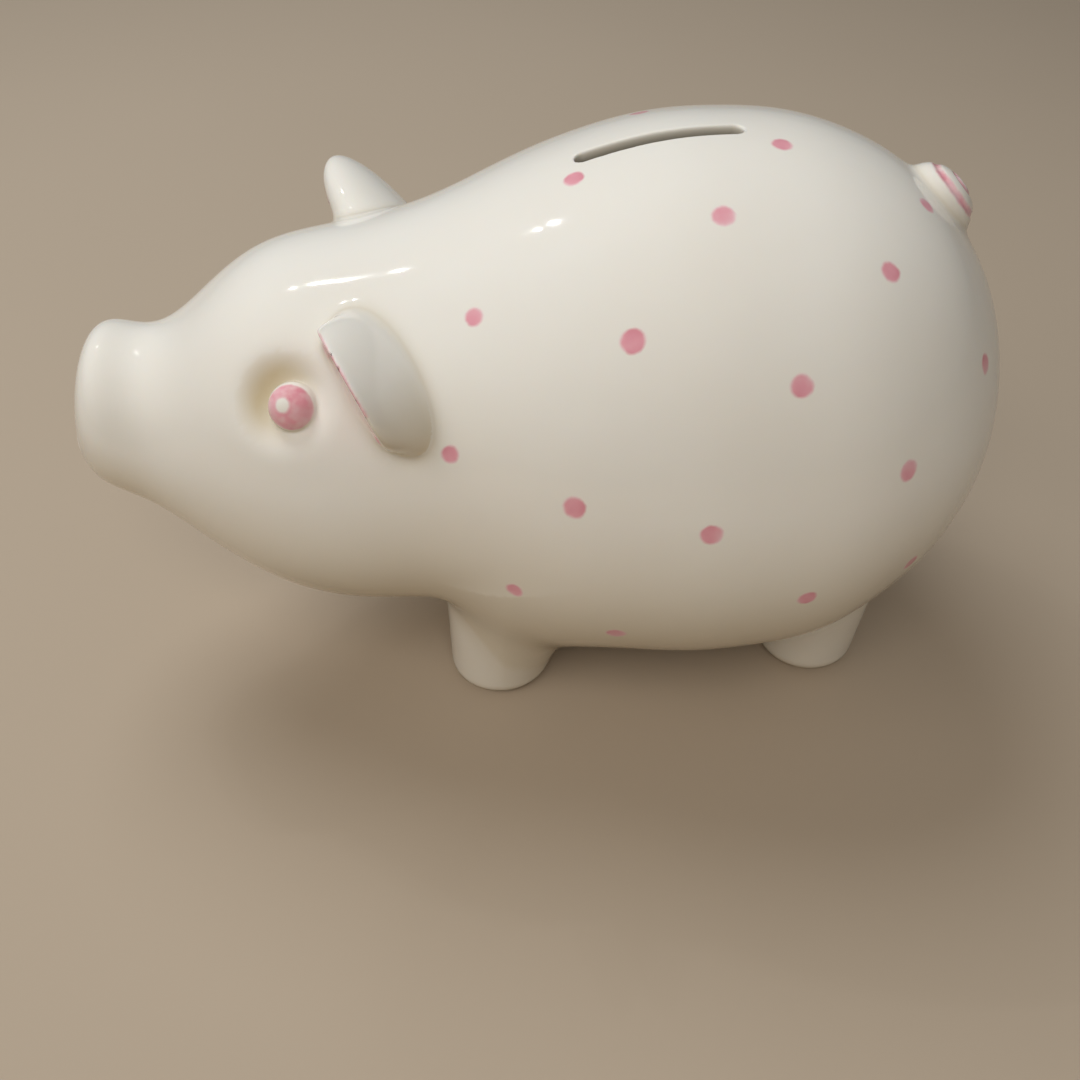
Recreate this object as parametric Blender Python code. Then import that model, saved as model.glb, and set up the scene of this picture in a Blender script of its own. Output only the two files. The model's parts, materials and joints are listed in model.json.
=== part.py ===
"""Glazed ceramic pig money box: hollow body, luted legs, ears and tail, set-in eyes, rubber stopper.

The snout points to -X, the rump to +X, the pig's own left side to -Y and its back to +Z.
The soles of the four feet stand on Z = 0, and the origin is on that plane under the middle of the body.
"""
import math

import bmesh
import bpy
import numpy as np
from mathutils import Matrix, Vector

# ---- driving dimensions, in metres ----
LENGTH = 0.235
WALL = 0.0045
GAP = 0.0003

# The body is round in section: place along X, height of the section's centre, section radius.
BODY_STATIONS = (
    (-LENGTH / 2, 0.0755, 0.0),  # snout tip
    (-0.1145, 0.0795, 0.0100),  # snout disc
    (-0.1080, 0.0855, 0.0202),  # rounded snout rim
    (-0.0970, 0.0820, 0.0235),  # waist of the snout
    (-0.0850, 0.0790, 0.0305),  # bridge of the nose
    (-0.0730, 0.0800, 0.0395),  # brow
    (-0.0590, 0.0795, 0.0460),  # eyes
    (-0.0420, 0.0795, 0.0490),  # cheeks
    (-0.0220, 0.0810, 0.0525),  # neck
    (0.0000, 0.0800, 0.0625),  # shoulders
    (0.0240, 0.0815, 0.0685),  # chest of the barrel
    (0.0480, 0.0820, 0.0700),  # widest section
    (0.0710, 0.0820, 0.0670),  # haunches
    (0.0900, 0.0830, 0.0575),  # top of the rump
    (0.1050, 0.0830, 0.0440),  # rump
    (0.1140, 0.0840, 0.0275),  # back of the rump
    (LENGTH / 2, 0.0855, 0.0),  # rearmost point
)
BODY_RINGS = 34
BODY_SIDES = 44
CAVITY_RINGS = 26
CAVITY_SIDES = 32
CAVITY_END_RADIUS = 0.006

SLOT_X = 0.030
SLOT_LENGTH = 0.038
SLOT_WIDTH = 0.0046
SLOT_TOP = 0.165
SLOT_BOTTOM = 0.120
SLOT_END_POINTS = 8

NOSTRIL_HEIGHT = 0.0830
NOSTRIL_SPREAD = 0.0075
NOSTRIL_RADII = (0.0040, 0.0024, 0.0042)
NOSTRIL_X = -0.1150

LEG_SPREAD = 0.0210
FRONT_LEG_X = -0.0110
REAR_LEG_X = 0.0820
SOLE_RADIUS = 0.0095
SOLE_ROUNDING = 0.0045
LEG_BLANK_HEIGHT = 0.0480
FRONT_LEG_TOP_RADIUS = 0.0165
REAR_LEG_TOP_RADIUS = 0.0175
LEG_SIDES = 28
ROUNDING_STEPS = 4

# Left ear: an egg that grows out of the head, sliced off along its rim and hollowed behind it. The
# right ear mirrors it, but for its rim, which stands a little further forward.
EAR_CENTRE = Vector((-0.0287, -0.0252, 0.1064))
EAR_RADII = (0.0091, 0.0190, 0.0385)
EAR_OUTWARD = Vector((-0.482, -0.737, 0.473))
EAR_ACROSS = Vector((-0.464, 0.673, 0.576))
EAR_BACKWARD = Vector((0.897, 0.321, 0.304))
LEFT_EAR_RIM = -0.0153
RIGHT_EAR_RIM = -0.0205
EAR_WALL = 0.0030
EAR_HOLLOW_DEPTH = 0.0100
EAR_COLUMNS = 26
EAR_ROWS = 20

EYE_X = -0.0558
EYE_TURN = math.radians(51.0)
EYE_RADIUS = 0.0056
EYE_DEPTH = 0.0028
DISH_RADIUS = 0.0140
DISH_DEPTH = 0.0042
DISH_SHIFT = Vector((-0.0018, 0.0, 0.0016))

# Curled tail: a low dome whose turns are parted by a groove that winds up it; angles in degrees.
TAIL_X = 0.0990
TAIL_RADII = (0.0091, 0.0091, 0.0057)
TAIL_LIFT = 0.0003
TAIL_SIDES = 48
TAIL_ROWS = 36
GROOVE_TURNS = (-40.0, 560.0)
GROOVE_START = 68.0
GROOVE_CLIMB = 0.1
GROOVE_DEPTH = 0.0005
GROOVE_WIDTH = 0.0009

STOPPER_X = 0.0400
SEAT_RADIUS = 0.0210
HOLE_RADIUS = 0.0153
FLANGE_RADIUS = 0.0195
FLANGE_THICKNESS = 0.0026
PLUG_LENGTH = 0.0110
PLUG_LEAD_IN = 0.0015
PLUG_WALL = 0.0035
GRIP_GROOVE = (0.0060, 0.0110)
GRIP_DEPTH = 0.0016
STOPPER_SIDES = 48

MIRRORED = Vector((1.0, -1.0, 1.0))


# ---- curves of the body ----
def smooth_value(places, values, place):
    """Cubic curve through the values, with its slopes taken from the neighbouring stations."""
    steps = np.diff(places)
    rises = np.diff(values) / steps
    slopes = np.empty(len(values))
    slopes[1:-1] = (rises[:-1] * steps[1:] + rises[1:] * steps[:-1]) / (steps[:-1] + steps[1:])
    slopes[0] = 2 * rises[0] - slopes[1]
    slopes[-1] = 2 * rises[-1] - slopes[-2]
    k = int(np.clip(np.searchsorted(places, place) - 1, 0, len(steps) - 1))
    t = (place - places[k]) / steps[k]
    start = (2 * t**3 - 3 * t**2 + 1) * values[k] + (t**3 - 2 * t**2 + t) * steps[k] * slopes[k]
    end = (3 * t**2 - 2 * t**3) * values[k + 1] + (t**3 - t**2) * steps[k] * slopes[k + 1]
    return float(start + end)


def section(x):
    """Height of the body's centre and its radius at a place along X."""
    places, heights, radii = (np.array(column) for column in zip(*BODY_STATIONS))
    x = min(max(x, places[0]), places[-1])
    height = smooth_value(places, heights, x)
    squared = smooth_value(places, radii**2, x)
    return height, math.sqrt(max(squared, 0.0))


def body_point(x, turn, lift=0.0):
    """Point on the body at an angle from its top line towards the left side, lifted off the skin."""
    height, radius = section(x)
    return Vector((x, -(radius + lift) * math.sin(turn), height + (radius + lift) * math.cos(turn)))


def body_normal(x, turn):
    """Direction straight out of the body's surface at a point."""
    step = 0.0005
    along = body_point(x + step, turn) - body_point(x - step, turn)
    around = body_point(x, turn + step) - body_point(x, turn - step)
    return along.cross(around).normalized() * -1.0


def profile_rows(rings, offset):
    """Rows of (x, centre height, radius), close together at both ends, moved out by the offset."""
    rows = []
    for i in range(1, rings):
        x = -LENGTH / 2 * math.cos(math.pi * i / rings)
        height, radius = section(x)
        step = 0.0001
        slope = (section(x + step)[1] - section(x - step)[1]) / (2 * step)
        length = math.hypot(1.0, slope)
        rows.append((x - offset * slope / length, height, radius + offset / length))
    return rows


# ---- mesh helpers ----
def clear_scene():
    for item in list(bpy.data.objects):
        bpy.data.objects.remove(item, do_unlink=True)


def material(name, colour, roughness, metallic=0.0):
    made = bpy.data.materials.new(name)
    made.use_nodes = True
    shader = made.node_tree.nodes["Principled BSDF"]
    shader.inputs["Base Color"].default_value = (*colour, 1.0)
    shader.inputs["Roughness"].default_value = roughness
    shader.inputs["Metallic"].default_value = metallic
    return made


def add_object(name, data, finish=None):
    item = bpy.data.objects.new(name, data)
    bpy.context.collection.objects.link(item)
    if finish:
        data.materials.append(finish)
    return item


def lofted_mesh(name, loops, first_tip=None, last_tip=None):
    """Skin closed loops of equal length in order; each end closes to a tip, or to a flat face."""
    bm = bmesh.new()
    rows = [[bm.verts.new(p) for p in loop] for loop in loops]
    count = len(rows[0])
    for lower, upper in zip(rows[:-1], rows[1:]):
        for k in range(count):
            bm.faces.new((lower[k], lower[(k + 1) % count], upper[(k + 1) % count], upper[k]))
    for row, tip in ((rows[0], first_tip), (rows[-1], last_tip)):
        if tip is None:
            bm.faces.new(row)
            continue
        point = bm.verts.new(tip)
        for k in range(count):
            bm.faces.new((row[k], row[(k + 1) % count], point))
    bmesh.ops.recalc_face_normals(bm, faces=bm.faces)
    mesh = bpy.data.meshes.new(name)
    bm.to_mesh(mesh)
    bm.free()
    mesh.shade_smooth()
    mesh.set_sharp_from_angle(angle=math.radians(40))
    return mesh


def body_mesh(name, rings, sides, offset, tip_limit):
    """Round-section loft of the body, offset from its outer skin and closed by a tip at each end."""
    rows = [row for row in profile_rows(rings, offset) if row[2] > tip_limit]
    loops = []
    for x, height, radius in rows:
        turns = [2 * math.pi * k / sides for k in range(sides)]
        loops.append([(x, -radius * math.sin(a), height + radius * math.cos(a)) for a in turns])
    first = (-LENGTH / 2 - offset, 0.0, rows[0][1])
    last = (LENGTH / 2 + offset, 0.0, rows[-1][1])
    return lofted_mesh(name, loops, first, last)


def turned_mesh(name, outline, sides):
    """Turn an outline of (radius, height) points about Z; it runs from the axis to the axis."""
    loops = []
    for radius, height in outline[1:-1]:
        turns = [2 * math.pi * k / sides for k in range(sides)]
        loops.append([(radius * math.cos(a), radius * math.sin(a), height) for a in turns])
    return lofted_mesh(name, loops, (0.0, 0.0, outline[0][1]), (0.0, 0.0, outline[-1][1]))


def ball_mesh(name, radii, columns, rows):
    """Ball with its own radius along each axis, its poles on Z."""
    bm = bmesh.new()
    bmesh.ops.create_uvsphere(bm, u_segments=columns, v_segments=rows, radius=1.0)
    bmesh.ops.scale(bm, vec=radii, verts=bm.verts)
    mesh = bpy.data.meshes.new(name)
    bm.to_mesh(mesh)
    bm.free()
    mesh.shade_smooth()
    return mesh


def make_cutter(name, mesh, place=(0, 0, 0), facing=None):
    cutter = add_object(name, mesh)
    cutter.location = place
    if facing:
        cutter.rotation_euler = facing.to_track_quat("Z", "Y").to_euler()
    cutter.hide_render = True
    cutter.display_type = "WIRE"
    return cutter


def cut(item, *cutters):
    for cutter in cutters:
        boolean = item.modifiers.new(cutter.name, "BOOLEAN")
        boolean.operation = "DIFFERENCE"
        boolean.solver = "EXACT"
        boolean.object = cutter


# ---- openings of the body ----
def slot_cutter():
    """Stadium-shaped prism that goes down through the back."""
    bm = bmesh.new()
    end = SLOT_WIDTH / 2
    outline = []
    for side in (1, -1):
        for k in range(SLOT_END_POINTS + 1):
            turn = side * math.pi / 2 - side * math.pi * k / SLOT_END_POINTS
            x = SLOT_X + side * (SLOT_LENGTH / 2 - end + end * math.cos(turn))
            outline.append(bm.verts.new((x, end * math.sin(turn), SLOT_TOP)))
    face = bm.faces.new(outline)
    walls = bmesh.ops.extrude_face_region(bm, geom=[face])["geom"]
    lower = [v for v in walls if isinstance(v, bmesh.types.BMVert)]
    bmesh.ops.translate(bm, vec=(0, 0, SLOT_BOTTOM - SLOT_TOP), verts=lower)
    bmesh.ops.recalc_face_normals(bm, faces=bm.faces)
    mesh = bpy.data.meshes.new("slot_cutter")
    bm.to_mesh(mesh)
    bm.free()
    return make_cutter("slot_cutter", mesh)


def seat_height():
    """Height of the flat ring ground into the belly round the stopper hole."""
    height, radius = section(STOPPER_X)
    return height - math.sqrt(radius**2 - SEAT_RADIUS**2)


def hole_cutter():
    """Wide flat-bottomed recess for the flange and a round hole through the wall above it."""
    seat = seat_height()
    outline = (
        (0.0, seat + 0.030),
        (HOLE_RADIUS, seat + 0.030),
        (HOLE_RADIUS, seat),
        (SEAT_RADIUS + 0.004, seat),
        (SEAT_RADIUS + 0.004, seat - 0.020),
        (0.0, seat - 0.020),
    )
    mesh = turned_mesh("stopper_hole_cutter", outline, STOPPER_SIDES)
    return make_cutter("stopper_hole_cutter", mesh, (STOPPER_X, 0.0, 0.0))


def nostril_cutters():
    made = []
    for side, name in ((-1, "left_nostril_cutter"), (1, "right_nostril_cutter")):
        mesh = ball_mesh(name, NOSTRIL_RADII, 16, 10)
        made.append(make_cutter(name, mesh, (NOSTRIL_X, side * NOSTRIL_SPREAD, NOSTRIL_HEIGHT)))
    return made


def eye_centre(side):
    """Middle of an eyeball; the side is -1 for the left eye and 1 for the right."""
    point = body_point(EYE_X, EYE_TURN) - body_normal(EYE_X, EYE_TURN) * EYE_DEPTH
    return Vector((point.x, -side * point.y, point.z))


def eye_direction(side):
    normal = body_normal(EYE_X, EYE_TURN)
    return Vector((normal.x, -side * normal.y, normal.z))


def socket_cutters():
    """Round dish in the cheek, deepest towards the brow, and the cup that the eyeball sits in."""
    made = []
    for side, word in ((-1, "left"), (1, "right")):
        facing = eye_direction(side)
        centre = eye_centre(side) + facing * (EYE_DEPTH + DISH_RADIUS - DISH_DEPTH) + DISH_SHIFT
        dish = ball_mesh(word + "_dish_cutter", (DISH_RADIUS,) * 3, 28, 18)
        made.append(make_cutter(word + "_dish_cutter", dish, centre, facing))
        cup = ball_mesh(word + "_cup_cutter", (EYE_RADIUS + GAP,) * 3, 20, 14)
        made.append(make_cutter(word + "_cup_cutter", cup, eye_centre(side), facing))
    return made


# ---- pieces ----
def make_body(finish):
    body = add_object("body_shell", body_mesh("body_shell", BODY_RINGS, BODY_SIDES, 0.0, 0.0), finish)
    hollow = body_mesh("cavity_cutter", CAVITY_RINGS, CAVITY_SIDES, -WALL, CAVITY_END_RADIUS)
    cut(body, make_cutter("cavity_cutter", hollow))
    cut(body, *socket_cutters())
    cut(body, *nostril_cutters())
    cut(body, slot_cutter(), hole_cutter())


def leg_outline(top_radius):
    """Tapered leg with a flat sole and a rounded edge, as (radius, height) from the top down."""
    points = [(0.0, LEG_BLANK_HEIGHT), (top_radius, LEG_BLANK_HEIGHT)]
    for k in range(ROUNDING_STEPS + 1):
        turn = math.pi / 2 * k / ROUNDING_STEPS
        radius = SOLE_RADIUS + SOLE_ROUNDING * math.cos(turn)
        points.append((radius, SOLE_ROUNDING * (1.0 - math.sin(turn))))
    points.append((0.0, 0.0))
    return points


def make_legs(finish, swell):
    for x, place, top_radius in (
        (FRONT_LEG_X, "front", FRONT_LEG_TOP_RADIUS),
        (REAR_LEG_X, "rear", REAR_LEG_TOP_RADIUS),
    ):
        for side, word in ((-1, "left"), (1, "right")):
            name = place + "_" + word + "_leg"
            leg = add_object(name, turned_mesh(name, leg_outline(top_radius), LEG_SIDES), finish)
            leg.location = (x, side * LEG_SPREAD, 0.0)
            cut(leg, swell)


def ear_egg(name, side, radii, rim, keep):
    """Egg along the ear, kept only behind the plane of the rim (keep 1) or only in front of it (keep -1)."""
    outward = EAR_OUTWARD.normalized()
    thick = EAR_ACROSS.cross(outward).normalized()
    turned = Matrix((thick, outward.cross(thick), outward)).transposed().to_4x4()
    egg = ball_mesh(name, radii, EAR_COLUMNS, EAR_ROWS)
    egg.transform(Matrix.Translation(EAR_CENTRE) @ turned)
    bm = bmesh.new()
    bm.from_mesh(egg)
    facing = EAR_BACKWARD.normalized()
    parts = bm.verts[:] + bm.edges[:] + bm.faces[:]
    sliced = bmesh.ops.bisect_plane(
        bm, geom=parts, dist=1e-7, plane_co=facing * rim, plane_no=facing * -keep, clear_outer=True
    )
    rim_edges = [item for item in sliced["geom_cut"] if isinstance(item, bmesh.types.BMEdge)]
    bmesh.ops.holes_fill(bm, edges=rim_edges)
    if side > 0:
        bmesh.ops.scale(bm, vec=MIRRORED, verts=bm.verts)
    bmesh.ops.recalc_face_normals(bm, faces=bm.faces)
    bm.to_mesh(egg)
    bm.free()
    egg.set_sharp_from_angle(angle=math.radians(40))
    return egg


def make_ears(finish, swell):
    inner = [radius - EAR_WALL for radius in EAR_RADII]
    for side, word, rim in ((-1, "left", LEFT_EAR_RIM), (1, "right", RIGHT_EAR_RIM)):
        ear = add_object(word + "_ear", ear_egg(word + "_ear", side, EAR_RADII, rim, 1), finish)
        hollow_name = word + "_ear_hollow_cutter"
        hollow = ear_egg(hollow_name, side, inner, rim + EAR_HOLLOW_DEPTH, -1)
        cut(ear, make_cutter(hollow_name, hollow), swell)


def make_eyes(finish):
    for side, name in ((-1, "left_eye"), (1, "right_eye")):
        eye = add_object(name, ball_mesh(name, (EYE_RADIUS,) * 3, 20, 14), finish)
        eye.location = eye_centre(side)
        eye.rotation_euler = eye_direction(side).to_track_quat("Z", "Y").to_euler()


def groove_depth(turn, steepness):
    """How far the tail's surface sinks at a place on the dome, its angles given in degrees."""
    first, last = GROOVE_TURNS
    depth = 0.0
    for lap in (-360.0, 0.0, 360.0):
        along = min(max(turn + lap, first), last)
        rise = math.radians(steepness - GROOVE_START + GROOVE_CLIMB * along)
        aside = math.radians(turn + lap - along) * math.sin(math.radians(steepness))
        away = math.hypot(rise, aside) * (TAIL_RADII[0] + TAIL_RADII[2]) / 2
        depth = max(depth, GROOVE_DEPTH * math.exp(-((away / GROOVE_WIDTH) ** 2)))
    return depth


def make_tail(finish, swell):
    out = body_normal(TAIL_X, 0.0)
    side = Vector((0.0, -1.0, 0.0))
    down = out.cross(side)
    centre = body_point(TAIL_X, 0.0) + out * TAIL_LIFT
    loops = []
    for row in range(1, TAIL_ROWS):
        steepness = 180.0 * row / TAIL_ROWS
        loop = []
        for k in range(TAIL_SIDES):
            turn = 360.0 * k / TAIL_SIDES
            wide, long, high = (radius - groove_depth(turn, steepness) for radius in TAIL_RADII)
            spread = math.sin(math.radians(steepness))
            across = down * wide * math.cos(math.radians(turn)) + side * long * math.sin(math.radians(turn))
            loop.append(centre + across * spread + out * high * math.cos(math.radians(steepness)))
        loops.append(loop)
    top = centre + out * TAIL_RADII[2]
    cut(add_object("tail", lofted_mesh("tail", loops, top, centre - out * TAIL_RADII[2]), finish), swell)


def stopper_outline():
    """Rubber bung from the top down: hollow plug, flange under the belly, ring groove for the fingers."""
    top = PLUG_LENGTH
    hollow = HOLE_RADIUS - GAP - PLUG_WALL
    plug = HOLE_RADIUS - GAP
    inner, outer = GRIP_GROOVE
    return (
        (0.0, PLUG_WALL),
        (hollow, PLUG_WALL),
        (hollow, top),
        (plug - PLUG_LEAD_IN, top),
        (plug, top - 2 * PLUG_LEAD_IN),
        (plug, 0.0),
        (FLANGE_RADIUS - 0.0006, 0.0),
        (FLANGE_RADIUS, -0.0006),
        (FLANGE_RADIUS, -0.0014),
        (FLANGE_RADIUS - 0.0012, -FLANGE_THICKNESS),
        (outer, -FLANGE_THICKNESS),
        (outer - 0.0006, -FLANGE_THICKNESS + GRIP_DEPTH),
        (inner + 0.0006, -FLANGE_THICKNESS + GRIP_DEPTH),
        (inner, -FLANGE_THICKNESS),
        (0.0, -FLANGE_THICKNESS),
    )


def make_stopper(finish):
    stopper = add_object("stopper", turned_mesh("stopper", stopper_outline(), STOPPER_SIDES), finish)
    stopper.location = (STOPPER_X, 0.0, seat_height() - GAP)


def main():
    clear_scene()
    glaze = material("cream_glaze", (0.80, 0.77, 0.72), 0.10)
    pink = material("pink_underglaze", (0.72, 0.30, 0.36), 0.12)
    rubber = material("grey_rubber", (0.42, 0.41, 0.39), 0.65)
    skin = body_mesh("swell_cutter", BODY_RINGS, BODY_SIDES, GAP, 0.0)
    swell = make_cutter("swell_cutter", skin)
    make_body(glaze)
    make_legs(glaze, swell)
    make_ears(glaze, swell)
    make_eyes(pink)
    make_tail(glaze, swell)
    make_stopper(rubber)


main()
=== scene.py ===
"""Glazed ceramic pig money box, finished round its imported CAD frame.

The whole pot is one glazed skin in the real thing: body, legs, ears, tail and eyes flow into each other.
Here a distance field describes that skin, it is meshed once, and the mesh is shared out to one piece for
each CAD node. Metres; the snout points to -X, the pig's own left side to -Y, and up is +Z.
"""
import json
import math

import bmesh
import bpy
import numpy as np
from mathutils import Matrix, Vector


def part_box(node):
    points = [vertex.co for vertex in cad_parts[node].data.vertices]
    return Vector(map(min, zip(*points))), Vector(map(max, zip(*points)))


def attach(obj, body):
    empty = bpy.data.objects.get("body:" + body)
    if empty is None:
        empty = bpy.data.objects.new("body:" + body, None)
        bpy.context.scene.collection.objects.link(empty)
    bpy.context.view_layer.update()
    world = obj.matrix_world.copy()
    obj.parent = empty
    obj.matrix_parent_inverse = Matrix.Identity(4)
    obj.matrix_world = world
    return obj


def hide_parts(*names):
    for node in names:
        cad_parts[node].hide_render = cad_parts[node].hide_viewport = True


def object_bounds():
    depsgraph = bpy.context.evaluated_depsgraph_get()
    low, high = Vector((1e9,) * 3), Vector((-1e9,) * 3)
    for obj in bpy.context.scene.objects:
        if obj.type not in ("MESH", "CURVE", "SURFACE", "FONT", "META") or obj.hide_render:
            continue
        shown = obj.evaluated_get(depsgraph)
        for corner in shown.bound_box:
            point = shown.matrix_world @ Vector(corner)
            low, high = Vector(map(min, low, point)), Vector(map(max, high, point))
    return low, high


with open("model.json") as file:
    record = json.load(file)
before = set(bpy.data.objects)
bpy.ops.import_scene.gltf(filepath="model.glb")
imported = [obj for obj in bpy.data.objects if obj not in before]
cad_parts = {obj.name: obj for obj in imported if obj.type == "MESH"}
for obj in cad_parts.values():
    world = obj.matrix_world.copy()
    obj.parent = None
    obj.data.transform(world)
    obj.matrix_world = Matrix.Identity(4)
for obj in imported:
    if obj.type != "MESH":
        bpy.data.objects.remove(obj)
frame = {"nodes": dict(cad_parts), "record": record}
CAD_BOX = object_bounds()

MM = 0.001

# ---- body ----
BODY_RINGS = 34
PROFILE_TERMS = 22
PROFILE_STEPS = 6000
WALL = 4.5 * MM

# ---- mesh ----
PITCH = 1.5 * MM
SETTLE_ROUNDS = 5
RELAX_ROUNDS = 4
NORMAL_STEP = 0.12 * MM
WIDE_STEP = 0.2 * MM
LONGEST_MOVE = 0.8 * MM
DETAIL_REACHES = (1.2 * MM, 0.2 * MM)
FAR = 30.0 * MM
MARGIN = 9.0 * MM

# ---- legs ----
SOLE_ROUNDING = 4.5 * MM
SOLE_RADIUS = 14.0 * MM
LEG_TAPER = 0.075
LEG_TOP = 48.0 * MM
REAR_FILLET = 1.0 * MM
FRONT_FILLETS = (5.0 * MM, 25.0 * MM)

# ---- ears: an egg each that grows out of the head, cut open along a rim and hollowed; left ear ----
EAR_CENTRE = np.array((-28.7, -25.2, 106.4)) * MM
EAR_RADII = np.array((38.5, 9.1, 19.0)) * MM
EAR_OUTWARD = np.array((-0.482, -0.737, 0.473))
EAR_ACROSS = np.array((-0.464, 0.673, 0.576))
EAR_BACKWARD = np.array((0.897, 0.321, 0.304))
EAR_RIMS = (-15.3 * MM, -20.5 * MM)
EAR_WALL = 3.0 * MM
HOLLOW_DEPTH = 10.0 * MM
HOLLOW_SHIFT = 2.5 * MM
HOLLOW_ROUNDING = 4.0 * MM
RIM_ROUNDING = 1.8 * MM
EAR_PAINT_FOOT = 118.0 * MM
RIM_PAINT = 0.4 * MM
# Painted shade down the lower back of each ear: the height where it starts, and over what height it deepens
# fully.
EAR_PAINTED_SHADE_TOP = 120.0 * MM
EAR_PAINTED_SHADE_DEPTH = 16.0 * MM

# ---- eyes ----
DISH_RADIUS = 14.0 * MM
DISH_DEPTH = 6.2 * MM
DISH_SHIFT = 3.2 * MM
DISH_WALL = 3.5 * MM
EYE_DEPTH = 2.8 * MM
DISH_AHEAD = np.array((-0.75, 0.0, 0.65))
PUPIL_RADIUS = 1.7 * MM
EYE_PAINT_ANGLE = 63.0
EYE_PAINT_TURN = np.array((0.12, 0.0, -0.12))
PUPIL_TURN = np.array((-0.22, -0.22, 0.20))

# ---- tail: curled up on itself into a low dome, its turns parted by a shallow groove ----
TAIL_X = 99.0 * MM
TAIL_RADII = np.array((9.1, 9.1, 5.7)) * MM
TAIL_LIFT = 0.3 * MM
GROOVE_TURNS = (-40.0, 560.0)
GROOVE_START = 68.0
GROOVE_CLIMB = 0.1
GROOVE_RADIUS = 0.75 * MM
GROOVE_LIFT = 0.5 * MM
GROOVE_PAINT = 1.1 * MM
GROOVE_STEPS = 72
GROOVE_ROUNDING = 1.2 * MM

# ---- openings ----
SLOT_X = 30.0 * MM
SLOT_LENGTH = 38.0 * MM
SLOT_WIDTH = 4.3 * MM
SLOT_FLOOR = 120.0 * MM
STOPPER_X = 40.0 * MM
SEAT_RADIUS = 25.0 * MM
HOLE_RADIUS = 15.3 * MM
HOLE_REACH = 25.0 * MM
FLANGE_THICKNESS = 2.6 * MM
GAP = 0.3 * MM
NOSTRIL_PLACE = np.array((-115.0, -7.5, 83.0)) * MM
NOSTRIL_RADII = np.array((4.0, 2.4, 4.2)) * MM

# ---- how wide a fillet or rounding joins each shape to the body ----
DISH_EDGE = 6.0 * MM
EYE_FILLET = 1.4 * MM
EAR_FILLET = 5.0 * MM
TAIL_FILLET = 5.0 * MM
NOSTRIL_EDGE = 2.5 * MM
CHAMBER_DISH_EDGE = 3.0 * MM
CHAMBER_EDGE = 1.0 * MM
SLOT_EDGE = 1.2 * MM
HOLE_EDGE = 0.8 * MM

# Painted dots: place along X in millimetres, angle from the back's top line towards the pig's left, size.
DOTS = (
    (10, 7, 1.0),
    (39, 24, 1.0),
    (56, 6, 0.95),
    (-14, 35, 0.85),
    (18, 45, 1.1),
    (74, 35, 0.95),
    (89, 15, 0.8),
    (52, 55, 1.0),
    (101, 53, 0.9),
    (-21, 66, 0.8),
    (5, 75, 1.05),
    (34, 81, 1.0),
    (78, 73, 0.95),
    (-8, 102, 0.85),
    (59, 100, 0.95),
    (16, 113, 0.95),
    (88, 105, 0.9),
    (29, -18, 0.95),
    (-6, -27, 0.9),
    (64, -30, 1.0),
    (8, -50, 1.05),
    (44, -52, 1.0),
    (86, -42, 0.85),
    (-18, -62, 0.85),
    (24, -78, 1.0),
    (68, -72, 1.0),
    (98, -66, 0.9),
    (-4, -96, 0.9),
    (46, -103, 0.95),
    (84, -104, 0.9),
    (10, -120, 0.9),
)
DOT_RADIUS = 2.4 * MM


# ---- reading the frame ----
def node_points(name):
    mesh = frame["nodes"][name].data
    flat = np.zeros(len(mesh.vertices) * 3, np.float32)
    mesh.vertices.foreach_get("co", flat)
    return flat.reshape(-1, 3).astype(float)


def read_profile():
    """Body's centre height and squared radius along X, smoothed through the CAD shell's own rings."""
    points = node_points("body_shell")
    low, high = points[:, 0].min(), points[:, 0].max()
    places = (low + high) / 2 - (high - low) / 2 * np.cos(np.pi * np.arange(BODY_RINGS + 1) / BODY_RINGS)
    heights = []
    squares = []
    for place in places:
        ring = points[np.abs(points[:, 0] - place) < 0.02 * MM]
        widest = ring[np.argmax(ring[:, 1])]
        heights.append(widest[2])
        squares.append(widest[1] ** 2)
    weights = np.ones(len(places))
    weights[[0, -1]] = 30.0
    steps = np.linspace(low, high, PROFILE_STEPS)
    fit = np.polynomial.Chebyshev.fit
    height = fit(places, heights, PROFILE_TERMS, domain=[low, high])
    square = fit(places, squares, PROFILE_TERMS, domain=[low, high], w=weights)
    return steps, height(steps), square(steps), height.deriv()(steps), square.deriv()(steps)


PLACES, HEIGHTS, SQUARES, HEIGHT_SLOPES, SQUARE_SLOPES = read_profile()


# ---- fields: below zero inside the clay, in metres near the surface ----
def merge(a, b, reach):
    """Union of two fields with a smooth fillet as wide as the reach."""
    near = np.maximum(reach - np.abs(a - b), 0.0) / reach
    return np.minimum(a, b) - near**3 * reach / 6.0


def carve(a, cutter, reach):
    """Field a with the cutter's inside taken away, its new edge rounded by the reach."""
    return -merge(-a, cutter, reach)


def column(p, centre):
    return np.hypot(p[:, 0] - centre[0], p[:, 1] - centre[1])


def left_side(p):
    """Places mirrored to the pig's left, for shapes that come in pairs."""
    mirrored = p.copy()
    mirrored[:, 1] = -np.abs(mirrored[:, 1])
    return mirrored


def body_field(p):
    x = np.clip(p[:, 0], PLACES[0], PLACES[-1])
    up = p[:, 2] - np.interp(x, PLACES, HEIGHTS)
    square_slope = np.interp(x, PLACES, SQUARE_SLOPES)
    square = np.interp(x, PLACES, SQUARES) + square_slope * (p[:, 0] - x)
    away = p[:, 1] ** 2 + up**2
    tilt = 2 * up * np.interp(x, PLACES, HEIGHT_SLOPES) + square_slope
    return (away - square) / np.sqrt(4 * away + tilt**2 + MM**2)


def gradient(field, p, step):
    """Slopes and values of a field, from four points round each place."""
    corners = np.array(((1, -1, -1), (-1, -1, 1), (-1, 1, -1), (1, 1, 1)), float)
    slope = np.zeros_like(p)
    value = np.zeros(len(p))
    for corner in corners:
        level = field(p + corner * step)
        slope += level[:, None] * corner
        value += level
    slope /= 4 * step
    return slope, value / 4


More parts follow.
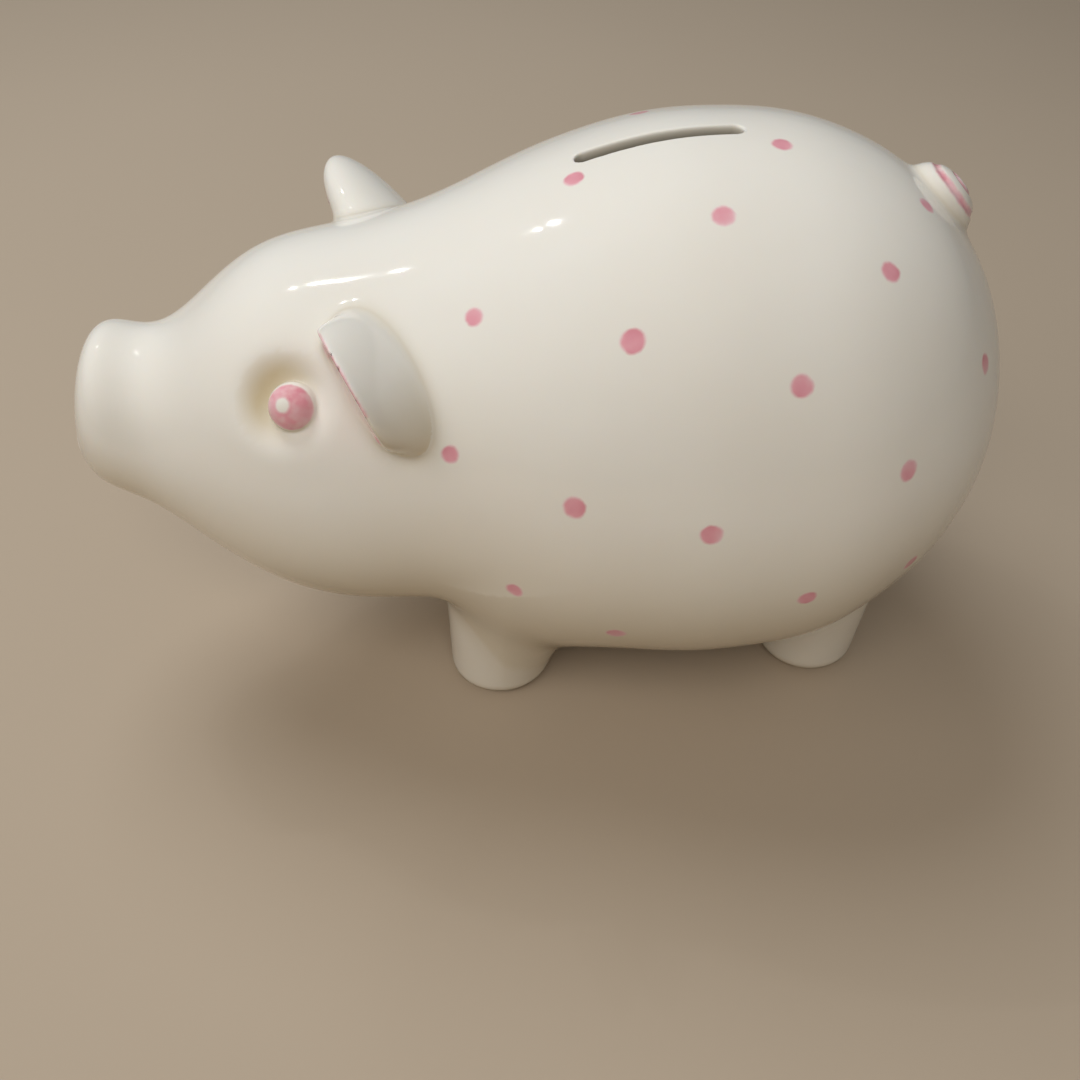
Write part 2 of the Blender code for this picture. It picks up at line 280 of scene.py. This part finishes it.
def skin_point(x, turn):
    """Point on the plain body at an angle from its top line towards the left side, and the way out there."""
    height = np.interp(x, PLACES, HEIGHTS)
    radius = math.sqrt(max(np.interp(x, PLACES, SQUARES), 0.0))
    point = np.array((x, -radius * math.sin(turn), height + radius * math.cos(turn)))
    slope, _ = gradient(body_field, point[None, :], WIDE_STEP)
    return point, slope[0] / np.linalg.norm(slope[0])


def rearward(p, centre):
    """From -1 straight in front of a leg's middle to 1 straight behind it."""
    return (p[:, 0] - centre[0]) / (column(p, centre) + MM)


def leg_field(p, name, centre):
    """Tapered leg with a rounded edge round its flat sole; a front leg swells towards the belly only."""
    swell = rearward(p, centre) if name.startswith("front") else 0.0
    side = column(p, centre) - (SOLE_RADIUS + LEG_TAPER * p[:, 2] * (1.0 + swell))
    low = -p[:, 2]
    top = p[:, 2] - LEG_TOP
    inner_side, inner_low = side + SOLE_ROUNDING, low + SOLE_ROUNDING
    corner = np.hypot(np.maximum(inner_side, 0.0), np.maximum(inner_low, 0.0))
    flat = np.minimum(np.maximum(inner_side, inner_low), 0.0)
    return np.maximum(corner + flat - SOLE_ROUNDING, top)


def leg_fillet(p, name, centre):
    """Front legs spread into the belly beside and behind them; rear legs meet it in a crease."""
    if name.startswith("rear"):
        return REAR_FILLET
    least, more = FRONT_FILLETS
    return least + more * np.clip(rearward(p, centre) + 0.97, 0.0, 1.0)


def leg_centres():
    """Middle of each sole, from the record's mounts, under the name of its leg."""
    found = {}
    for mount in frame["record"]["mounts"]:
        found[mount["name"].replace("_sole", "_leg")] = mount["pos_m"]
    return found


def square_axes(first, third):
    """Three unit directions at right angles, as columns, from two that nearly are."""
    first = first / np.linalg.norm(first)
    second = np.cross(third, first)
    second = second / np.linalg.norm(second)
    return np.stack((first, second, np.cross(first, second)), 1)


EAR_AXES = square_axes(EAR_OUTWARD, EAR_ACROSS)


def egg_field(p, centre, axes, radii):
    """Ellipsoid with its radii along three directions."""
    away = (p - centre) @ axes
    ratio = np.linalg.norm(away / radii, axis=1)
    slope = np.linalg.norm(away / radii**2, axis=1) + 1e-9
    return ratio * (ratio - 1.0) / slope


def ear_fields(p):
    """Both ears, and the pink paint in their hollows and round the top of their rims."""
    behind_rim = left_side(p) @ EAR_BACKWARD - np.where(p[:, 1] < 0.0, *EAR_RIMS)
    egg = egg_field(left_side(p), EAR_CENTRE, EAR_AXES, EAR_RADII)
    ahead = EAR_CENTRE - EAR_BACKWARD * HOLLOW_SHIFT
    inner_egg = egg_field(left_side(p), ahead, EAR_AXES, EAR_RADII) + EAR_WALL
    hollow = carve(inner_egg, HOLLOW_DEPTH - behind_rim, HOLLOW_ROUNDING)
    ear = carve(carve(egg, behind_rim, RIM_ROUNDING), hollow, RIM_ROUNDING)
    rim = np.maximum(behind_rim - RIM_PAINT, EAR_PAINT_FOOT - p[:, 2])
    return ear, np.maximum(np.minimum(hollow - 0.9 * MM, rim), ear - 0.6 * MM)


def read_tail():
    """Middle of the curled tail on the rump, its directions (down the rump, left, out) and its groove."""
    skin, out = skin_point(TAIL_X, 0.0)
    centre = skin + out * TAIL_LIFT
    side = np.array((0.0, -1.0, 0.0))
    axes = np.stack((np.cross(out, side), side, out), 1)
    turns = np.radians(np.linspace(*GROOVE_TURNS, GROOVE_STEPS))
    steepness = math.radians(GROOVE_START) - GROOVE_CLIMB * turns
    around = np.stack((np.cos(turns), np.sin(turns)), 1) * np.sin(steepness)[:, None]
    groove = np.column_stack((around, np.cos(steepness))) * (TAIL_RADII + GROOVE_LIFT)
    return centre, axes, centre + groove @ axes.T


TAIL_CENTRE, TAIL_AXES, GROOVE_POINTS = read_tail()


def path_distance(p, points):
    """Distance to the middle of a path, worked out only round about it."""
    value = np.full(len(p), FAR)
    low, high = points.min(axis=0) - MARGIN, points.max(axis=0) + MARGIN
    close = np.nonzero(np.all((p > low) & (p < high), axis=1))[0]
    near = p[close]
    best = value[close]
    for start, end in zip(points[:-1], points[1:]):
        along = end - start
        share = np.clip((near - start) @ along / (along @ along), 0.0, 1.0)
        best = np.minimum(best, np.linalg.norm(near - start - share[:, None] * along, axis=1))
    value[close] = best
    return value


def tail_field(p):
    dome = egg_field(p, TAIL_CENTRE, TAIL_AXES, TAIL_RADII)
    return carve(dome, path_distance(p, GROOVE_POINTS) - GROOVE_RADIUS, GROOVE_ROUNDING)


def read_eye(name):
    """Centre and radius of an eyeball, from its CAD node."""
    low, high = (np.array(corner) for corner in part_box(name))
    return (low + high) / 2, float(np.max(high - low)) / 2


EYE_CENTRE, EYE_RADIUS = read_eye("left_eye")
EYE_SLOPE, _ = gradient(body_field, EYE_CENTRE[None, :], WIDE_STEP)
EYE_OUT = EYE_SLOPE[0] / np.linalg.norm(EYE_SLOPE[0])


def eye_field(p):
    return np.linalg.norm(left_side(p) - EYE_CENTRE, axis=1) - EYE_RADIUS


def dish_field(p):
    skin = EYE_CENTRE + EYE_OUT * EYE_DEPTH
    centre = skin + EYE_OUT * (DISH_RADIUS - DISH_DEPTH) + DISH_AHEAD * DISH_SHIFT
    return np.linalg.norm(left_side(p) - centre, axis=1) - DISH_RADIUS


def nostril_field(p):
    return egg_field(left_side(p), NOSTRIL_PLACE, np.eye(3), NOSTRIL_RADII)


def slot_field(p):
    straight = SLOT_LENGTH / 2 - SLOT_WIDTH / 2
    beyond = np.maximum(np.abs(p[:, 0] - SLOT_X) - straight, 0.0)
    return np.maximum(np.hypot(beyond, p[:, 1]) - SLOT_WIDTH / 2, SLOT_FLOOR - p[:, 2])


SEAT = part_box("stopper")[0][2] + FLANGE_THICKNESS + GAP


def stopper_hole_field(p):
    away = column(p, (STOPPER_X, 0.0))
    hole = np.maximum(away - HOLE_RADIUS, p[:, 2] - SEAT - HOLE_REACH)
    seat = np.maximum(away - SEAT_RADIUS, p[:, 2] - SEAT)
    return np.minimum(hole, seat)


LEGS = leg_centres()


def part_fields(p):
    """Field of the plain body and of everything luted onto it, by CAD node; eyes and ears come in pairs."""
    return {
        "body_shell": body_field(p),
        "ears": ear_fields(p)[0],
        "eyes": eye_field(p),
        "tail": tail_field(p),
        **{name: leg_field(p, name, centre) for name, centre in LEGS.items()},
    }


def outer_field(p):
    """The pot as if it were solid, with its dished eyes and its nostrils."""
    parts = part_fields(p)
    clay = carve(parts["body_shell"], dish_field(p), DISH_EDGE)
    clay = merge(clay, parts["eyes"], EYE_FILLET)
    clay = merge(clay, parts["ears"], EAR_FILLET)
    clay = merge(clay, parts["tail"], TAIL_FILLET)
    for name, centre in LEGS.items():
        clay = merge(clay, parts[name], leg_fillet(p, name, centre))
    return carve(clay, nostril_field(p), NOSTRIL_EDGE)


def skin_field(p):
    """The pot's clay: hollow, with its slot and its stopper hole."""
    chamber = carve(body_field(p) + WALL, dish_field(p) - DISH_WALL, CHAMBER_DISH_EDGE)
    clay = carve(outer_field(p), chamber, CHAMBER_EDGE)
    clay = carve(clay, slot_field(p), SLOT_EDGE)
    return carve(clay, stopper_hole_field(p), HOLE_EDGE)


# ---- meshing the field ----
def surface_net(field, low, high, pitch):
    """Quads along a field's zero surface, one corner for each grid cell that the surface crosses."""
    axes = [np.arange(a - 2 * pitch, b + 3 * pitch, pitch) for a, b in zip(low, high)]
    shape = tuple(len(axis) for axis in axes)
    values = np.empty(shape)
    for i, x in enumerate(axes[0]):
        y, z = np.meshgrid(axes[1], axes[2], indexing="ij")
        values[i] = field(np.stack((np.full(y.size, x), y.ravel(), z.ravel()), 1)).reshape(y.shape)
    inside = values < 0.0
    count = np.zeros(tuple(n - 1 for n in shape), int)
    for i in (0, 1):
        for j in (0, 1):
            for k in (0, 1):
                count += inside[i : shape[0] - 1 + i, j : shape[1] - 1 + j, k : shape[2] - 1 + k]
    crossed = (count > 0) & (count < 8)
    index = np.full(crossed.shape, -1)
    index[crossed] = np.arange(crossed.sum())
    cells = np.argwhere(crossed)
    origin = np.array([axis[0] for axis in axes])
    points = origin + (cells + 0.5) * pitch
    quads = []
    for axis in range(3):
        others = [n for n in range(3) if n != axis]
        ahead = np.diff(inside.astype(np.int8), axis=axis)
        for rising in (1, -1):
            edges = np.argwhere(ahead == rising)
            corners = []
            for a, b in ((0, 0), (1, 0), (1, 1), (0, 1)):
                cell = edges.copy()
                cell[:, others[0]] -= a
                cell[:, others[1]] -= b
                corners.append(index[tuple(cell.T)])
            loop = np.stack(corners, 1)
            forward = (rising == 1) == (axis == 1)
            quads.append(loop if forward else loop[:, ::-1])
    return points, np.concatenate(quads)


def settle(points, field, rounds):
    """Move points along the field's slope until they lie on its zero surface."""
    for _ in range(rounds):
        slope, value = gradient(field, points, NORMAL_STEP)
        size = np.sum(slope**2, axis=1) + 1e-9
        step = slope * (value / size)[:, None]
        length = np.linalg.norm(step, axis=1) + 1e-12
        points = points - step * np.minimum(1.0, LONGEST_MOVE / length)[:, None]
    return points


def relax(points, edges, field, rounds):
    """Spread points evenly along the surface."""
    degree = np.bincount(edges.ravel(), minlength=len(points))[:, None]
    for _ in range(rounds):
        total = np.zeros_like(points)
        for axis in range(3):
            for a, b in ((0, 1), (1, 0)):
                total[:, axis] += np.bincount(edges[:, a], points[edges[:, b], axis], len(points))
        points = settle(0.4 * points + 0.6 * total / degree, field, 1)
    return points


def mesh_edges(mesh):
    flat = np.zeros(len(mesh.edges) * 2, np.int32)
    mesh.edges.foreach_get("vertices", flat)
    return flat.reshape(-1, 2)


def mesh_points(mesh):
    flat = np.zeros(len(mesh.vertices) * 3, np.float32)
    mesh.vertices.foreach_get("co", flat)
    return flat.reshape(-1, 3).astype(float)


def detail_needed(p):
    """How close each point is to small shapes and painted edges, in metres."""
    return np.minimum.reduce(
        (
            np.abs(slot_field(p)) - 1.5 * MM,
            np.abs(ear_fields(p)[0]) - 1.0 * MM,
            np.abs(eye_field(p)) - 1.0 * MM,
            tail_field(p) - 1.5 * MM,
            nostril_field(p) - 1.5 * MM,
            np.abs(paint_distance(p)) - 0.6 * MM,
        )
    )


def refine(mesh, field, reach):
    """Split the faces that lie near small shapes in four, and put the new points on the surface."""
    bm = bmesh.new()
    bm.from_mesh(mesh)
    bm.faces.ensure_lookup_table()
    centres = np.array([face.calc_center_median() for face in bm.faces])
    near = detail_needed(centres) < reach
    chosen = {edge for i in np.nonzero(near)[0] for edge in bm.faces[i].edges}
    bmesh.ops.subdivide_edges(bm, edges=list(chosen), cuts=1, use_grid_fill=True, use_single_edge=True)
    bm.to_mesh(mesh)
    bm.free()
    points = settle(mesh_points(mesh), field, 2)
    points = relax(points, mesh_edges(mesh), field, 2)
    mesh.vertices.foreach_set("co", points.ravel())
    mesh.update()


# ---- paint, and painted shade ----
def dot_centres():
    return [(skin_point(x * MM, math.radians(turn))[0], DOT_RADIUS * size) for x, turn, size in DOTS]


DOT_CENTRES = dot_centres()


def paint_distance(p):
    """Distance to the nearest edge of the pink paint, below zero inside it."""
    value = np.full(len(p), FAR)
    for centre, radius in DOT_CENTRES:
        value = np.minimum(value, np.linalg.norm(p - centre, axis=1) - radius)
    value = np.minimum(value, np.maximum(ear_fields(p)[1], 0.8 * MM - body_field(p)))
    value = np.minimum(value, eye_paint(p))
    return np.minimum(value, path_distance(p, GROOVE_POINTS) - GROOVE_PAINT)


def eye_paint(p):
    """The eyeball is pink but for a ring round its foot and a small clear pupil."""
    away = left_side(p) - EYE_CENTRE
    radius = np.linalg.norm(away, axis=1) + 1e-9
    painted = EYE_OUT + EYE_PAINT_TURN
    facing = away @ painted / np.linalg.norm(painted) / radius
    cap = (math.cos(math.radians(EYE_PAINT_ANGLE)) - facing) * EYE_RADIUS
    ball = radius - EYE_RADIUS - 0.35 * MM
    looking = EYE_OUT + PUPIL_TURN
    looking = looking / np.linalg.norm(looking)
    pupil = PUPIL_RADIUS - np.linalg.norm(away - looking * EYE_RADIUS, axis=1)
    return np.maximum(np.maximum(cap, ball), pupil)


def ear_painted_shade(p):
    """Share of painted shade down the lower back of each ear, deepening towards the bottom."""
    low = np.clip((EAR_PAINTED_SHADE_TOP - p[:, 2]) / EAR_PAINTED_SHADE_DEPTH, 0.0, 1.0) * 0.75
    return np.where(ear_fields(p)[0] < 0.5 * MM, low, 0.0)


def dish_painted_shade(p):
    """Share of painted shade in the upper front of each eye's dish, strongest where the dish is deepest."""
    deep = np.clip(-body_field(p) / (2.4 * MM), 0.0, 1.0)
    ahead = np.clip(0.35 + (left_side(p) - EYE_CENTRE) @ DISH_AHEAD / (9 * MM), 0.0, 1.0)
    return np.where(np.abs(dish_field(p)) < 2.0 * MM, deep * ahead, 0.0)


# ---- materials ----
def new_material(name):
    made = bpy.data.materials.new(name)
    made.use_nodes = True
    nodes = made.node_tree.nodes
    return made, nodes, made.node_tree.links, nodes["Principled BSDF"]


def ramp(nodes, links, source, stops):
    node = nodes.new("ShaderNodeValToRGB")
    for element, (place, shade) in zip(node.color_ramp.elements, stops):
        element.position = place
        element.color = (*shade, 1.0)
    for place, shade in stops[2:]:
        node.color_ramp.elements.new(place).color = (*shade, 1.0)
    links.new(source, node.inputs["Fac"])
    return node.outputs["Color"]


def mix(nodes, links, factor, first, second):
    node = nodes.new("ShaderNodeMix")
    node.data_type = "RGBA"
    for name, value in (("Factor", factor), ("A", first), ("B", second)):
        socket = node.inputs[name]
        if isinstance(value, bpy.types.NodeSocket):
            links.new(value, socket)
        elif isinstance(value, tuple):
            socket.default_value = (*value, 1.0)
        else:
            socket.default_value = value
    return node.outputs["Result"]


def spread(nodes, links, source, low, high, start=0.0, end=1.0):
    """Map a value from one range to another, held at both ends."""
    node = nodes.new("ShaderNodeMapRange")
    links.new(source, node.inputs["Value"])
    node.inputs["From Min"].default_value = low
    node.inputs["From Max"].default_value = high
    node.inputs["To Min"].default_value = start
    node.inputs["To Max"].default_value = end
    return node.outputs["Result"]


def noise(nodes, links, place, scale, detail=2.0, roughness=0.5):
    node = nodes.new("ShaderNodeTexNoise")
    links.new(place, node.inputs["Vector"])
    node.inputs["Scale"].default_value = scale
    node.inputs["Detail"].default_value = detail
    node.inputs["Roughness"].default_value = roughness
    return node.outputs["Fac"]


def attribute(nodes, name):
    node = nodes.new("ShaderNodeAttribute")
    node.attribute_name = name
    return node.outputs["Fac"]


def add(nodes, links, first, second, scale=1.0):
    node = nodes.new("ShaderNodeMath")
    node.operation = "MULTIPLY_ADD"
    links.new(second, node.inputs[0])
    node.inputs[1].default_value = scale
    links.new(first, node.inputs[2])
    return node.outputs["Value"]


def product(nodes, links, first, second):
    node = nodes.new("ShaderNodeMath")
    node.operation = "MULTIPLY"
    links.new(first, node.inputs[0])
    links.new(second, node.inputs[1])
    return node.outputs["Value"]


CREAM = (0.86, 0.84, 0.79)
CREAM_SHADE = (0.845, 0.815, 0.755)
# Darker cream that is laid on as painted shade.
CREAM_PAINTED_SHADE = (0.67, 0.575, 0.40)
PINK = (0.80, 0.37, 0.44)
PINK_DEEP = (0.69, 0.25, 0.31)
PINK_PALE = (0.85, 0.56, 0.61)
BISQUE = (0.71, 0.65, 0.55)
# Near-black laid on deep inside the pot as painted shade.
INSIDE_PAINTED_SHADE = (0.17, 0.15, 0.11)


def glaze_material():
    """Clear glaze over a cream body with soft-edged pink brushwork; bare clay on the soles and inside;
    painted shade darkens the cream and the deep inside.
    """
    made, nodes, links, shader = new_material("cream_glaze")
    place = nodes.new("ShaderNodeTexCoord").outputs["Object"]
    drift = noise(nodes, links, place, 22.0, 3.0)
    colour = mix(nodes, links, spread(nodes, links, drift, 0.35, 0.7), CREAM, CREAM_SHADE)
    # Painted shade: the cream darkens in the fillets, under the body, in the eye dishes and down the backs
    # of the ears.
    painted_shade = attribute(nodes, "painted_shade")
    colour = mix(nodes, links, painted_shade, colour, CREAM_PAINTED_SHADE)

    wobble = noise(nodes, links, place, 380.0, 2.0)
    wobble = spread(nodes, links, wobble, 0.0, 1.0, -0.5, 0.5)
    edge = add(nodes, links, attribute(nodes, "paint"), wobble, 0.0010)
    cover = spread(nodes, links, edge, 0.24 * MM, -0.44 * MM)
    strokes = noise(nodes, links, place, 190.0, 2.0, 0.45)
    thin = spread(nodes, links, strokes, 0.40, 0.62, 0.05, 0.75)
    fringe = spread(nodes, links, edge, 0.55 * MM, 0.0)
    colour = mix(nodes, links, product(nodes, links, fringe, thin), colour, PINK_PALE)
    pink = ramp(nodes, links, strokes, ((0.34, PINK_DEEP), (0.50, PINK), (0.70, PINK_PALE)))
    pink = mix(nodes, links, spread(nodes, links, edge, -1.6 * MM, -0.2 * MM, 0.30, 0.65), PINK, pink)
    colour = mix(nodes, links, cover, colour, pink)

    bare = attribute(nodes, "bare")
    grit = noise(nodes, links, place, 2600.0, 3.0)
    clay = mix(nodes, links, grit, BISQUE, (0.62, 0.56, 0.46))
    colour = mix(nodes, links, bare, colour, clay)
    # Painted shade: deep inside the slot and the pot the colour goes near-black.
    colour = mix(nodes, links, attribute(nodes, "painted_inside_shade"), colour, INSIDE_PAINTED_SHADE)
    links.new(colour, shader.inputs["Base Color"])

    links.new(spread(nodes, links, bare, 0.0, 1.0, 0.07, 0.8), shader.inputs["Roughness"])
    shader.inputs["IOR"].default_value = 1.52
    shader.inputs["Subsurface Weight"].default_value = 0.12
    shader.inputs["Subsurface Radius"].default_value = (1.0, 0.75, 0.5)
    shader.inputs["Subsurface Scale"].default_value = 0.003

    swell = noise(nodes, links, place, 75.0, 2.0)
    bump = nodes.new("ShaderNodeBump")
    bump.inputs["Strength"].default_value = 0.25
    bump.inputs["Distance"].default_value = 0.0004
    links.new(swell, bump.inputs["Height"])
    grain = nodes.new("ShaderNodeBump")
    grain.inputs["Distance"].default_value = 0.00015
    links.new(spread(nodes, links, bare, 0.0, 1.0, 0.0, 0.9), grain.inputs["Strength"])
    links.new(grit, grain.inputs["Height"])
    links.new(bump.outputs["Normal"], grain.inputs["Normal"])
    links.new(grain.outputs["Normal"], shader.inputs["Normal"])
    return made


def rubber_material():
    made, nodes, links, shader = new_material("stopper_rubber")
    place = nodes.new("ShaderNodeTexCoord").outputs["Object"]
    mottle = noise(nodes, links, place, 160.0, 4.0)
    shade = mix(nodes, links, mottle, (0.36, 0.355, 0.34), (0.46, 0.45, 0.43))
    dust = noise(nodes, links, place, 900.0, 2.0)
    shade = mix(nodes, links, spread(nodes, links, dust, 0.58, 0.75, 0.0, 0.35), shade, (0.58, 0.56, 0.52))
    links.new(shade, shader.inputs["Base Color"])
    links.new(spread(nodes, links, mottle, 0.3, 0.7, 0.52, 0.7), shader.inputs["Roughness"])
    bump = nodes.new("ShaderNodeBump")
    bump.inputs["Strength"].default_value = 0.3
    bump.inputs["Distance"].default_value = 0.0001
    links.new(dust, bump.inputs["Height"])
    links.new(bump.outputs["Normal"], shader.inputs["Normal"])
    return made


# ---- pieces ----
def float_attribute(mesh, name, values):
    made = mesh.attributes.new(name, "FLOAT", "POINT")
    made.data.foreach_set("value", np.asarray(values, np.float32))


def build_skin():
    """Mesh of the whole pot, kept inside the CAD box."""
    low, high = (np.array(corner) for corner in CAD_BOX)
    points, quads = surface_net(skin_field, low, high, PITCH)
    points = settle(points, skin_field, SETTLE_ROUNDS)
    mesh = bpy.data.meshes.new("skin")
    mesh.from_pydata(points, [], quads.tolist())
    mesh.update()
    points = relax(points, mesh_edges(mesh), skin_field, RELAX_ROUNDS)
    mesh.vertices.foreach_set("co", points.ravel())
    for reach in DETAIL_REACHES:
        refine(mesh, skin_field, reach)
    points = np.clip(mesh_points(mesh), low, high)
    mesh.vertices.foreach_set("co", points.ravel())
    mesh.update()
    return mesh


NODES = ["body_shell", "left_ear", "right_ear", "left_eye", "right_eye", "tail", *LEGS]


def piece_of(centres):
    """CAD node that each face belongs to."""
    parts = part_fields(centres)
    names = list(parts)
    nearest = np.argmin([parts[name] for name in names], axis=0)
    inner = parts["body_shell"] < -0.6 * WALL
    owner = np.zeros(len(centres), int)
    for i, name in enumerate(names):
        chosen = (nearest == i) & ~inner
        if name in ("ears", "eyes"):
            left = centres[:, 1] < 0.0
            owner[chosen & left] = NODES.index("left_" + name[:-1])
            owner[chosen & ~left] = NODES.index("right_" + name[:-1])
        else:
            owner[chosen] = NODES.index(name)
    return owner


def share_out(mesh, glaze):
    """One piece for each CAD node, cut from the skin mesh, with the normals of the whole skin."""
    points = mesh_points(mesh)
    slope, _ = gradient(skin_field, points, NORMAL_STEP)
    normals = slope / np.linalg.norm(slope, axis=1)[:, None]
    paint = paint_distance(points)
    deep = -outer_field(points)
    inside = np.clip((deep - 0.35 * WALL) / (0.3 * WALL), 0.0, 1.0)
    sole = np.clip((0.35 * MM - points[:, 2]) / (0.2 * MM), 0.0, 1.0)
    bare = np.maximum(inside, sole)
    # Painted shade deep inside, growing with depth under the outer skin.
    painted_inside_shade = np.clip((deep - 0.4 * MM) / (0.6 * WALL), 0.0, 1.0)
    parts = part_fields(points)
    # Painted shade in the fillets where the parts join, deeper where a fillet stands further out from the
    # parts.
    hard = np.minimum.reduce(list(parts.values()))
    crease = np.clip(hard / (1.2 * MM), 0.0, 1.0) * 0.6
    # Painted shade on surfaces that face down, darker the further they face down.
    painted_underside_shade = np.clip(0.2 - normals[:, 2], 0.0, 1.0)
    # All the painted shade together: fillets, undersides, eye dishes and ear backs.
    painted_shade = np.maximum.reduce((crease, painted_underside_shade, dish_painted_shade(points), ear_painted_shade(points)))
    centres = np.array([polygon.center for polygon in mesh.polygons])
    owner = piece_of(centres)
    loops = [tuple(polygon.vertices) for polygon in mesh.polygons]
    values = {"paint": paint, "bare": bare, "painted_shade": painted_shade, "painted_inside_shade": painted_inside_shade}
    for number, name in enumerate(NODES):
        faces = [loops[i] for i in np.nonzero(owner == number)[0]]
        used = np.unique([corner for face in faces for corner in face])
        renumber = np.full(len(points), -1)
        renumber[used] = np.arange(len(used))
        part = bpy.data.meshes.new(name + "_glazed")
        part.from_pydata(points[used], [], [[int(renumber[c]) for c in face] for face in faces])
        part.update()
        part.shade_smooth()
        for label, value in values.items():
            float_attribute(part, label, value[used])
        part.normals_split_custom_set_from_vertices(normals[used])
        part.materials.append(glaze)
        piece = bpy.data.objects.new(name + "_glazed", part)
        bpy.context.collection.objects.link(piece)
        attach(piece, "bank")
        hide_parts(name)


def make_camera():
    data = bpy.data.cameras.new("camera")
    data.sensor_width = 36.0
    data.lens = 36.667
    data.clip_start = 0.01
    camera = bpy.data.objects.new("camera", data)
    camera.location = (-0.0184, -0.2371, 0.2547)
    camera.rotation_euler = Vector((0.0657, 0.7224, -0.6884)).to_track_quat("-Z", "Y").to_euler()
    bpy.context.collection.objects.link(camera)
    bpy.context.scene.camera = camera


def area_light(name, direction, distance, size, power, colour, mirrored=True):
    """Lamp aimed at the pot from a direction; a large one can light it without showing in the glaze."""
    data = bpy.data.lights.new(name, "AREA")
    data.shape = "ELLIPSE"
    data.size, data.size_y = size
    data.energy = power
    data.color = colour
    lamp = bpy.data.objects.new(name, data)
    toward = Vector(direction).normalized()
    lamp.location = Vector((0.0, 0.0, 0.09)) + toward * distance
    lamp.rotation_euler = toward.to_track_quat("Z", "Y").to_euler()
    lamp.visible_glossy = mirrored
    bpy.context.collection.objects.link(lamp)


def make_studio():
    world = bpy.data.worlds.new("studio")
    world.use_nodes = True
    world.node_tree.nodes["Background"].inputs["Color"].default_value = (1.0, 0.96, 0.9, 1.0)
    world.node_tree.nodes["Background"].inputs["Strength"].default_value = 0.11
    bpy.context.scene.world = world
    bpy.context.scene.view_settings.view_transform = "Standard"
    for number, place in enumerate((-0.42, -0.352)):
        area_light(f"lamp_{number}", (place, 0.45, 0.81), 1.0, (0.013, 0.013), 0.15, (1.0, 1.0, 1.0))
        area_light(f"lamp_glow_{number}", (place, 0.45, 0.81), 1.01, (0.027, 0.027), 0.014, (0.8, 0.9, 1.0))
    area_light("softbox", (-0.30, 0.42, 0.86), 1.1, (0.8, 0.7), 7.0, (0.93, 0.97, 1.0), mirrored=False)
    area_light("front_fill", (-0.2, -0.9, 1.05), 1.4, (1.0, 0.8), 7.8, (1.0, 0.94, 0.85), mirrored=False)
    area_light("left_fill", (-1.0, -0.5, 0.95), 1.4, (0.8, 0.8), 3.0, (1.0, 0.95, 0.88), mirrored=False)

    bm = bmesh.new()
    bmesh.ops.create_grid(bm, x_segments=24, y_segments=24, size=2.5)
    mesh = bpy.data.meshes.new("floor")
    bm.to_mesh(mesh)
    bm.free()
    floor = bpy.data.objects.new("floor", mesh)
    bpy.context.collection.objects.link(floor)
    made, nodes, links, shader = new_material("floor_paper")
    place = nodes.new("ShaderNodeTexCoord").outputs["Object"]
    shade = mix(nodes, links, noise(nodes, links, place, 3.0), (0.45, 0.37, 0.285), (0.49, 0.405, 0.315))
    links.new(shade, shader.inputs["Base Color"])
    shader.inputs["Roughness"].default_value = 0.6
    mesh.materials.append(made)


def main():
    make_camera()
    make_studio()
    share_out(build_skin(), glaze_material())
    stopper = frame["nodes"]["stopper"]
    stopper.data.materials.clear()
    stopper.data.materials.append(rubber_material())


main()
